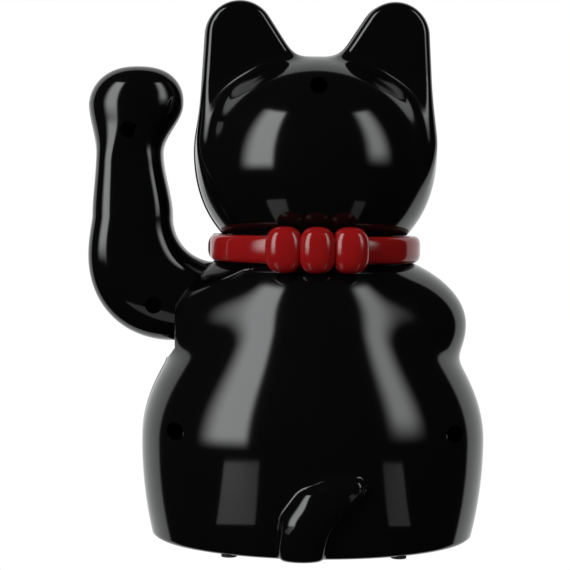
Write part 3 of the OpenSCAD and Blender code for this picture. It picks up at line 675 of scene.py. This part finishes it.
def cup_bead():
    """The fine bead round the mouth of the cup, on the back half."""
    outline = cup_outline(0.15)[::3]
    outline = outline[(outline[:, 0] > 0.6) & (outline[:, 1] < CUP_LIP[-1][1] - 0.3)]
    z = PIVOT_Z + outline[:, 1]
    origin = np.column_stack([np.zeros(len(z)), outline[:, 0], z])
    route = reach(cat_form, origin, np.tile([1.0, 0.0, 0.0], (len(z), 1)), 0.3)
    route[:, 0] = np.minimum(route[:, 0], RELIEF_X - 0.3)
    for _ in range(6):
        route[1:-1] = (route[:-2] + 2 * route[1:-1] + route[2:]) / 4
    return wire(route, 0.42, 12)


cup_cut = cup_cutter()
relief = rod([RELIEF_X, 0, PIVOT_Z], [OUTSIDE, 0, PIVOT_Z], RELIEF_R, 120)
back = body_shell("back_casing", 1, STEP)
cut(back, [rod([x, SEAT, z], [x, OUTSIDE, z], HOLE_R, 40) for x, z in SCREW_PLACES] + [cup_cut])
cut(back, [relief])
added(back, [boss(x, z) for x, z in SCREW_PLACES] + [cup(1), cup_bead()])
finish(back, black, "body", "back_shell")
front = body_shell("front_casing", -1, STEP)
cut(front, [cup_cut])
cut(front, [relief])
added(front, [cup(-1)])
finish(front, black, "body", "front_shell")


# ---- The raised arm: sections square to a spine that runs out, bends up and ends in the paw ----

STUB_R = 10.4
BEND_X, BEND_Z = 28.0, 90.0
BEND_R = 12.1
ELBOW = 6.4
WRIST_W, WRIST_X, WRIST_Z = 9.3, 52.2, 107.9
FOREARM_W = 11.2
PAW_Z, PAW_W, PAW_H = 121.5, 13.1, 10.4
ARM_SEAM_ROUND = 0.35
ARM_LIP = 0.25
# How far the forearm's sections go from an ellipse towards a box
ARM_SQUARE = 0.3
ARM_SEAT = 3.0
ARM_HEAD_R = 2.0
ARM_BOSS_R = BOSS_R - 0.4
ARM_SCREW_PLACES = [(round(float(x), 1), round(float(z), 1)) for x, z in
                    ((ARM_SCREW_LOW[0] + ARM_HEAD_R, ARM_SCREW_LOW[2] + ARM_HEAD_R),
                     (ARM_SCREW_HIGH[0] - ARM_HEAD_R, ARM_SCREW_HIGH[2] - ARM_HEAD_R))]


def ease(u):
    v = min(max(u, 0), 1)
    return v * v * (3 - 2 * v)


def half_w(z):
    """Half the width of the forearm and the paw."""
    if z < WRIST_Z:
        return FOREARM_W + (WRIST_W - FOREARM_W) * ease((z - BEND_Z) / (WRIST_Z - BEND_Z))
    return WRIST_W + (PAW_W - WRIST_W) * ease((z - WRIST_Z) / (PAW_Z - WRIST_Z))


def depth(z, side):
    """How far the forearm and the paw reach along Y; the paw swells mostly to the front."""
    swell = 0.6 if side > 0 else 3.2
    return 9.6 - 0.9 * ease((z - 85) / 20) + swell * ease((z - WRIST_Z) / (PAW_Z - WRIST_Z))


def middle_x(z):
    """X of the spine above the bend."""
    low = BEND_X + BEND_R + FOREARM_W
    return (low + (WRIST_X - low) * ease((z - BEND_Z) / (WRIST_Z - BEND_Z))
            - 1.7 * ease((z - WRIST_Z) / (PAW_Z - WRIST_Z)))


def arm_sections(side, inset, step):
    """Middle X and Z, half width, half depth and the angle that the width points along."""
    low = BEND_Z - PIVOT_Z + STUB_R
    high = BEND_R + 2 * FOREARM_W
    start = BEND_Z - PIVOT_Z - STUB_R
    sections = [(x, PIVOT_Z, STUB_R, STUB_R, -90) for x in np.arange(STUB_X, BEND_X, step)]
    for a in np.linspace(-90, 0, int(50 / step))[:-1]:
        turned = ease((a + 90) / 90)
        out = low + (high - low) * turned + ELBOW * abs(math.sin(math.radians(2 * a))) ** 1.4
        inner = start + (BEND_R - start) * turned
        r = (inner + out) / 2
        deep = STUB_R + (depth(BEND_Z, side) - STUB_R) * turned
        sections.append((BEND_X + r * math.cos(math.radians(a)), BEND_Z + r * math.sin(math.radians(a)),
                         (out - inner) / 2, deep, a))
    for z in np.linspace(BEND_Z, PAW_Z, int(32 / step)):
        sections.append((middle_x(z), z, half_w(z), depth(z, side), 0))
    for e in np.radians(np.linspace(0, 90, int(20 / step))[1:-1]):
        size = math.cos(e) ** 0.8
        sections.append((middle_x(PAW_Z) - 0.8 * math.sin(e), PAW_Z + (PAW_H - inset) * math.sin(e),
                         (PAW_W - inset) * size + inset, (depth(PAW_Z, side) - inset) * size + inset, 0))
    return sections


def arm_grid(side, inset, step, angles):
    """Points and outward normals over half the arm, row by row."""
    rows, normals = [], []
    for x, z, w, d, a in arm_sections(side, inset, step):
        c, s = math.cos(math.radians(a)), math.sin(math.radians(a))
        square = 1 - ARM_SQUARE * ease((a + 80) / 60) * (1 - ease((z - WRIST_Z + 3) / 12))
        u, v = np.cos(angles), np.sin(angles)
        u, v = np.sign(u) * np.abs(u) ** square, np.maximum(v, 0) ** square
        rows.append(np.column_stack([x + (w - inset) * u * c, side * (d - inset) * v,
                                     z + (w - inset) * u * s]))
        un, vn = np.sign(u) * np.abs(u) ** (2 / square - 1), v ** (2 / square - 1)
        n = np.column_stack([un / w * c, side * vn / d, un / w * s])
        normals.append(n / np.linalg.norm(n, axis=1)[:, None])
    return np.vstack(rows), np.vstack(normals)


def arm_shell(name, side, step):
    angles = columns(int(46 / step), 8)
    points, normals = arm_grid(side, 0, step, angles)
    outer = seam_shape(points, normals, side, ARM_SEAM_ROUND, ARM_LIP).reshape(-1, len(angles), 3)
    inside = np.radians(np.linspace(0, 180, 26))
    inner, _ = arm_grid(side, ARM_WALL, 2, inside)
    inner[:, 1] = side * np.maximum(np.abs(inner[:, 1]), SEAM_GAP)
    top_x = middle_x(PAW_Z) - 0.8
    top = [top_x, side * SEAM_GAP, PAW_Z + PAW_H - (ARM_SEAM_ROUND if side > 0 else 0)]
    low_top = [top_x, side * SEAM_GAP, PAW_Z + PAW_H - ARM_WALL - ARM_SEAM_ROUND]
    return half_hollow(name, outer, inner.reshape(-1, len(inside), 3), top, low_top, side)


arm_back = arm_shell("arm_back_casing", 1, STEP)
cut(arm_back, [rod([x, ARM_SEAT, z], [x, 20, z], HOLE_R, 40) for x, z in ARM_SCREW_PLACES])
added(arm_back, [screw_boss(x, z, ARM_SEAT, 7.6, 7.4, ARM_BOSS_R, 1.2) for x, z in ARM_SCREW_PLACES])
finish(arm_back, black, "arm", "arm_back_shell")
arm_front = arm_shell("arm_front_casing", -1, STEP)
finish(arm_front, black, "arm", "arm_front_shell")


# ---- Collar with its knot ----

BAND_OUT_W, BAND_OUT_D = 29.6, 26.2
BAND_IN_W, BAND_IN_D = NECK_W + 0.35, NECK_D + 0.35
# Middle X and half width of the knot's lobes
KNOT_LOBES = ((8.8, 5.1), (0.0, 4.9), (-8.8, 5.1))
LOOP_R = 2.1
LOOP_WIRE = 0.8


def squared(value, power):
    return np.sign(value) * abs(value) ** power


def band(side, steps):
    """Half of the band: a rounded strip swept round an ellipse."""
    profile = []
    for a in np.linspace(0, 2 * np.pi, 40, endpoint=False):
        profile.append((squared(math.cos(a), 0.85), squared(math.sin(a), 0.55)))
    rings = []
    for t in np.radians(np.linspace(0.15, 179.85, steps)):
        ring = []
        for u, v in profile:
            across = 0.5 + 0.5 * u
            w = BAND_IN_W + (BAND_OUT_W - BAND_IN_W) * across
            d = BAND_IN_D + (BAND_OUT_D - BAND_IN_D) * across
            ring.append((w * math.cos(t), side * d * math.sin(t), COLLAR_Z + v * COLLAR_H / 2))
        rings.append(np.array(ring))
    points, faces = capped(rings)
    return points, faces if side > 0 else flipped(faces)


def rounded_block(centre, half, square, rows, cols):
    """A pillow whose sides are squarer the lower the three exponents are."""
    rings = []
    for e in np.linspace(-math.pi / 2, math.pi / 2, rows)[1:-1]:
        size = math.cos(e) ** square[2]
        z = centre[2] + half[2] * squared(math.sin(e), square[2])
        ring = []
        for t in np.linspace(0, 2 * math.pi, cols, endpoint=False):
            ring.append((centre[0] + half[0] * size * squared(math.cos(t), square[0]),
                         centre[1] + half[1] * size * squared(math.sin(t), square[1]), z))
        rings.append(np.array(ring))
    return capped(rings)


def bell_loop():
    """The ring under the band that the bell hangs from."""
    middle = np.array([0, -BAND_OUT_D - 0.6, COLLAR_Z - COLLAR_H / 2 - 1.2])
    rings = []
    for turn in np.linspace(0, 2 * np.pi, 48, endpoint=False):
        way = np.array([0, math.cos(turn), math.sin(turn)])
        rings.append(circle(middle + LOOP_R * way, [1, 0, 0], way, LOOP_WIRE, LOOP_WIRE, 20))
    return tube_loop(rings)


knot = []
for x, half in KNOT_LOBES:
    y = NECK_D + 3.6 - 1.1 * abs(x) / 8.9
    knot.append(rounded_block((x, y, COLLAR_Z + 0.1), (half, 3.8, 6.25), (0.86, 0.9, 0.72), 44, 60))
collar_back = make_object("collar_back_band", *merged([band(1, 180)] + knot))
finish(collar_back, red, "body", "collar_back")
collar_front = make_object("collar_front_band", *merged([band(-1, 180), bell_loop()]))
finish(collar_front, red, "body", "collar_front")


# ---- Bell and coin ----

BELL_R = (BELL_HIGH[0] - BELL_LOW[0]) / 2
BELL_AT = (BELL_LOW + BELL_HIGH) / 2
SLOT_Z = BELL_AT[2] - 2.6
SLOT_END = 3.2
COIN_T = 2.4
COIN_MIDDLE = (COIN_LOW + COIN_HIGH) / 2 * [1, 0, 1] + COIN_LOW * [0, 1, 0]
COIN_HALF = (COIN_HIGH - COIN_LOW) / 2


def ball(centre, radius):
    """A ball of rings stacked along Z, with a girdle round its middle."""
    rings = []
    for a in np.radians(np.linspace(-89, 89, 70)):
        r, h = radius * math.cos(a), radius * math.sin(a)
        r += 0.45 if abs(h) < 0.75 else 0
        rings.append(circle([centre[0], centre[1], centre[2] + h], [1, 0, 0], [0, 1, 0], r, r, 96))
    return capped(rings)


bell = make_object("bell_ball", *ball(BELL_AT, BELL_R))
front_y, deep_y = BELL_AT[1] - 8, BELL_AT[1] - 2.6
for x in (BELL_AT[0] - SLOT_END, BELL_AT[0] + SLOT_END):
    cut(bell, [rod([x, front_y, SLOT_Z], [x, deep_y, SLOT_Z], 1.0, 32)])
slit = capped([circle([BELL_AT[0], y, SLOT_Z], [1, 0, 0], [0, 0, -1], 3.4, 0.5, 32)
               for y in (front_y, deep_y)])
cut(bell, [slit])
finish(bell, gold, "body", "collar_bell", 35)


def coin_face(centre, half_w, half_h, thick):
    """An oval plate with a rounded edge, a raised rim, hammered ridges and two round marks."""
    t = np.linspace(0, 2 * np.pi, 160, endpoint=False)
    rings = []
    for s in np.concatenate([np.linspace(0.01, 0.8, 40), np.linspace(0.81, 1, 30)]):
        x = centre[0] + half_w * s * np.cos(t)
        z = centre[2] + half_h * s * np.sin(t)
        rim = np.clip((s - 0.83) / 0.03, 0, 1) * np.clip((1.0 - s) / 0.035, 0, 1) ** 0.5
        ridges = 0.10 * np.sin(2 * np.pi * (z - centre[2]) / 1.7) * np.clip((0.8 - s) / 0.06, 0, 1)
        medal = 0.0
        for lift in (-0.52, 0.52):
            far = np.hypot(x - centre[0], z - centre[2] - lift * half_h)
            dish = 1 - 0.5 * np.clip((2.7 - far) / 0.3, 0, 1)
            medal = medal + 0.35 * np.clip((3.4 - far) / 0.3, 0, 1) * dish
        y = centre[1] + 0.5 - 0.5 * rim - ridges * (np.asarray(medal) == 0) - medal + 0 * x
        y = y + 0.35 * np.clip((s - 0.97) / 0.03, 0, 1)
        rings.append(np.column_stack([x, y, z]))
    for s, y in ((1.0, 0.9), (1.0, thick - 0.4), (0.985, thick - 0.1), (0.96, thick), (0.02, thick)):
        rings.append(np.column_stack([centre[0] + half_w * s * np.cos(t), centre[1] + y + 0 * t,
                                      centre[2] + half_h * s * np.sin(t)]))
    points, faces = capped(rings)
    return points, flipped(faces)


coin_parts = [coin_face(COIN_MIDDLE, COIN_HALF[0], COIN_HALF[2], COIN_T)]
for z in (COIN_MIDDLE[2] - 4, COIN_MIDDLE[2] + 4):
    coin_parts.append(rod([COIN_MIDDLE[0], COIN_LOW[1] + COIN_T - 0.2, z],
                          [COIN_MIDDLE[0], COIN_HIGH[1], z], 1.5))
coin = make_object("coin_plate", *merged(coin_parts))
finish(coin, gold, "body", "koban_coin", 40)


# ---- Painted face, inner ears, paw pads and toes, as thin raised films ----

EYE_X, EYE_Z = 13.2, 108.0
NOSE_Z = 100.5
WHISKER_Z = 97.8
TOE_X = 22
# X and Z from the middle of the paw, half width and half height of each pad
PAW_PADS = ((0, -4.6, 4.3, 3.4), (-6.4, 1.2, 1.9, 2.4), (-2.2, 4.0, 1.9, 2.5), (2.4, 4.0, 1.9, 2.5),
            (6.4, 1.2, 1.9, 2.4))


def on_front(x, z, out):
    """Y of the casing's front at x and z, moved out."""
    return along_y(np.asarray(x, float), np.asarray(z, float), -1, -out)


def on_paw(x, z, out):
    """Y of the raised paw's front at x and z, moved out."""
    x, z = np.asarray(x, float), np.asarray(z, float)
    y = []
    for a, b in zip(x, z):
        w, d = half_w(b) + out, depth(b, -1) + out
        if b > PAW_Z:
            size = max(1 - ((b - PAW_Z) / PAW_H) ** 2, 0.01) ** 0.4
            w, d = w * size, d * size
        y.append(-d * math.sqrt(max(1 - ((a - middle_x(b)) / w) ** 2, 0)))
    return np.array(y)


def film(surface, centre, outline, out):
    """A closed film that follows the surface inside an outline round the centre."""
    outline = np.asarray(outline, float)
    rings = []
    top = [(s, out * max(1 - s ** 8, 0) ** 0.5) for s in np.linspace(0.03, 1, 14)]
    for s, lift in top + [(0.97, -0.5), (0.5, -0.5), (0.03, -0.5)]:
        x = centre[0] + outline[:, 0] * s
        z = centre[1] + outline[:, 1] * s
        rings.append(np.column_stack([x, surface(x, z, lift), z]))
    points, faces = capped(rings)
    return points, flipped(faces)


def egg(half_w, half_h, lean=0.0, narrow=0.0, n=56):
    """An oval, narrower at its top, leaning towards +X by lean degrees."""
    t = np.linspace(0, 2 * np.pi, n, endpoint=False)
    x = half_w * np.cos(t) * (1 - narrow * np.sin(t))
    z = half_h * np.sin(t)
    c, s = math.cos(math.radians(lean)), math.sin(math.radians(lean))
    return np.column_stack([x * c + z * s, z * c - x * s])


def stroke(surface, path, radius):
    """A thin raised line along a smoothed path on the surface."""
    path = np.asarray(path, float)
    u = np.linspace(0, len(path) - 1, 12 * (len(path) - 1) + 1)
    x = np.interp(u, np.arange(len(path)), path[:, 0])
    z = np.interp(u, np.arange(len(path)), path[:, 1])
    for _ in range(12):
        x[1:-1] = (x[:-2] + 2 * x[1:-1] + x[2:]) / 4
        z[1:-1] = (z[:-2] + 2 * z[1:-1] + z[2:]) / 4
    return wire(np.column_stack([x, surface(x, z, 0.0), z]), radius, 10)


eyes, pupils, reds, lines, gold_lines = [], [], [], [], []
for side in (-1, 1):
    eyes.append(film(on_front, (side * EYE_X, EYE_Z), egg(5.6, 6.6, -side * 8), 0.22))
    pupils.append(film(on_front, (side * (EYE_X - 0.8), EYE_Z - 0.3), egg(2.9, 4.2), 0.42))
    reds.append(film(on_front, (side * 18.6, 129.5), egg(5.6, 9.5, side * 14, 0.34), 0.2))
    mouth = [(0, NOSE_Z - 1.6), (side * 0.6, NOSE_Z - 4.4), (side * 3.6, NOSE_Z - 5.8),
             (side * 6.2, NOSE_Z - 4.2)]
    lines.append(stroke(on_front, mouth, 0.38))
    for k in (-1, 0, 1):
        whisker = [(side * 15.5, WHISKER_Z + 2.0 * k), (side * 21, WHISKER_Z + 0.4 + 3.4 * k),
                   (side * 26.5, WHISKER_Z - 0.2 + 5.2 * k)]
        lines.append(stroke(on_front, whisker, 0.3))
        toe = [(side * (TOE_X + 3.6 * k), 9.5), (side * (TOE_X + 3.8 * k), 6.5),
               (side * (TOE_X + 3.9 * k), 3.6)]
        gold_lines.append(stroke(on_front, toe, 0.42))
    brow = [(side * (EYE_X - 5.8), EYE_Z + 4.4), (side * EYE_X, EYE_Z + 7.6),
            (side * (EYE_X + 5.8), EYE_Z + 4.0)]
    gold_lines.append(stroke(on_front, brow, 0.34))
reds.append(film(on_front, (0, NOSE_Z), egg(2.2, 1.5, 0, -0.35), 0.35))
pads = [film(on_paw, (middle_x(PAW_Z) + x, PAW_Z + z), egg(w, h), 0.25) for x, z, w, h in PAW_PADS]

DETAILS = (("eye_whites", eyes, white_paint, "body"),
           ("pupils", pupils, dark_paint, "body"),
           ("nose_and_inner_ears", reds, pink_paint, "body"),
           ("whiskers_and_mouth", lines, white_paint, "body"),
           ("toe_and_brow_lines", gold_lines, gold, "body"),
           ("paw_pads", pads, pink_paint, "arm"))
for name, parts, paint, body in DETAILS:
    detail = make_object(name, *merged(parts))
    finish(detail, paint, body)


# ---- Camera, floor and light ----

CAMERA_DISTANCE = 0.440
CAMERA_HEIGHT = 0.0936
CAMERA_AZIMUTH = math.radians(180 - 1.5)
CAMERA_PITCH = math.radians(2.93)
CAMERA_ROLL = math.radians(0.65)
CAMERA_AIM = math.radians(1.08)
CAMERA_LENS = 98.6
BACKGROUND_LEVEL = 1.0
BACKDROP_LEVEL = 0.9
BACKDROP_EDGE = -math.cos(math.radians(68))
BACKDROP_SOFT = 0.03
ROOM_LEVEL = 0.012
# Level, turn from +Y towards +X in degrees, softness of both edges, height range and its softness
SOFT_BOXES = ((5.3, (36, 62), (2.5, 9), (-2, 50), (5, 2)),
              (3.9, (-62, -45), (8, 6), (6, 49), (9, 2)))
# Name, turn as above, distance from the origin and level of the lit parts of the table
TABLE_GLOWS = (("left_glow", (27, 46), (60, 170), 0.55),
               ("right_glow", (-46, -35), (60, 170), 0.3))

camera = bpy.data.objects.new("camera", bpy.data.cameras.new("camera"))
bpy.context.scene.collection.objects.link(camera)
camera.data.lens = CAMERA_LENS
camera.data.sensor_width = 36
camera.data.clip_start = 0.01
spot = Vector((math.sin(CAMERA_AZIMUTH) * CAMERA_DISTANCE, -math.cos(CAMERA_AZIMUTH) * CAMERA_DISTANCE,
               CAMERA_HEIGHT))
turn = (Matrix.Rotation(CAMERA_AZIMUTH + CAMERA_AIM, 4, "Z")
        @ Matrix.Rotation(math.pi / 2 - CAMERA_PITCH, 4, "X")
        @ Matrix.Rotation(CAMERA_ROLL, 4, "Z"))
camera.matrix_world = Matrix.Translation(spot) @ turn
bpy.context.scene.camera = camera


def studio_world():
    """White where the camera looks; in reflections a white backdrop on the cat's front side
    and two soft boxes on the camera's side."""
    world = bpy.data.worlds.new("studio")
    bpy.context.scene.world = world
    world.use_nodes = True
    nodes, links = world.node_tree.nodes, world.node_tree.links

    def math_node(operation, a, b=None):
        node = nodes.new("ShaderNodeMath")
        node.operation = operation
        for socket, value in zip(node.inputs, (a, b)):
            if isinstance(value, float):
                socket.default_value = value
            elif value is not None:
                links.new(value, socket)
        return node.outputs[0]

    def ramp(value, middle, soft, start=0.0, end=1.0):
        node = nodes.new("ShaderNodeMapRange")
        node.interpolation_type = "SMOOTHSTEP"
        node.inputs["From Min"].default_value = middle - soft
        node.inputs["From Max"].default_value = middle + soft
        node.inputs["To Min"].default_value = start
        node.inputs["To Max"].default_value = end
        links.new(value, node.inputs["Value"])
        return node.outputs["Result"]

    coords = nodes.new("ShaderNodeTexCoord")
    split = nodes.new("ShaderNodeSeparateXYZ")
    links.new(coords.outputs["Generated"], split.inputs["Vector"])
    x, y, z = split.outputs
    turn = math_node("MULTIPLY", math_node("ARCTAN2", x, y), math.degrees(1))
    lift = math_node("MULTIPLY", math_node("ARCSINE", z), math.degrees(1))
    total = ramp(y, BACKDROP_EDGE, BACKDROP_SOFT, BACKDROP_LEVEL, ROOM_LEVEL)
    for level, turns, turn_soft, lifts, lift_soft in SOFT_BOXES:
        box = ramp(turn, turns[0], turn_soft[0])
        for part in (ramp(turn, turns[1], turn_soft[1], 1.0, 0.0), ramp(lift, lifts[0], lift_soft[0]),
                     ramp(lift, lifts[1], lift_soft[1], 1.0, 0.0)):
            box = math_node("MULTIPLY", box, part)
        total = math_node("ADD", total, math_node("MULTIPLY", box, level))
    studio = nodes.new("ShaderNodeBackground")
    links.new(total, studio.inputs["Strength"])
    studio.inputs["Color"].default_value = (0.98, 0.99, 1.0, 1)
    plain = nodes["Background"]
    plain.inputs["Color"].default_value = (1, 1, 1, 1)
    plain.inputs["Strength"].default_value = BACKGROUND_LEVEL
    path = nodes.new("ShaderNodeLightPath")
    mix = nodes.new("ShaderNodeMixShader")
    links.new(path.outputs["Is Camera Ray"], mix.inputs["Fac"])
    links.new(studio.outputs["Background"], mix.inputs[1])
    links.new(plain.outputs["Background"], mix.inputs[2])
    links.new(mix.outputs["Shader"], nodes["World Output"].inputs["Surface"])


def emissive(name, scale, low, high):
    """A black paint that only gives off white light, its level following noise."""
    paint, tree, shader = new_material(name)
    noise = tree.nodes.new("ShaderNodeTexNoise")
    noise.inputs["Scale"].default_value = scale
    tone = tree.nodes.new("ShaderNodeMapRange")
    tone.inputs["To Min"].default_value = low
    tone.inputs["To Max"].default_value = high
    tree.links.new(noise.outputs["Fac"], tone.inputs["Value"])
    tree.links.new(tone.outputs["Result"], shader.inputs["Emission Strength"])
    shader.inputs["Emission Color"].default_value = (1, 1, 1, 1)
    shader.inputs["Base Color"].default_value = (0, 0, 0, 1)
    return paint, shader


def pale_floor():
    """A plain white floor that blends into the background and stays out of reflections."""
    points = [(x, y, -0.02) for y in (-900, 900) for x in (-900, 900)]
    floor = make_object("floor", points, [(0, 1, 3, 2)])
    paint, shader = emissive("floor_paint", 40, 1.0, 1.02)
    shader.inputs["Specular IOR Level"].default_value = 0
    floor.data.materials.append(paint)
    floor.visible_glossy = False
    floor.visible_diffuse = False


def table_glow(name, turns, reaches, level):
    """A patch of lit table that shows only in reflections."""
    points, count = [], 24
    for r in reaches:
        for a in np.radians(np.linspace(*turns, count)):
            points.append((r * math.sin(a), r * math.cos(a), 0.02))
    patch = make_object(name, points, grid_faces(0, 2, count))
    paint = emissive(name + "_glow", 8, level * 0.8, level * 1.2)[0]
    patch.data.materials.append(paint)
    patch.visible_camera = False
    patch.visible_diffuse = False
    patch.visible_shadow = False


studio_world()
for name, turns, reaches, level in TABLE_GLOWS:
    table_glow(name, turns, reaches, level)
pale_floor()
bpy.context.scene.view_settings.view_transform = "Standard"
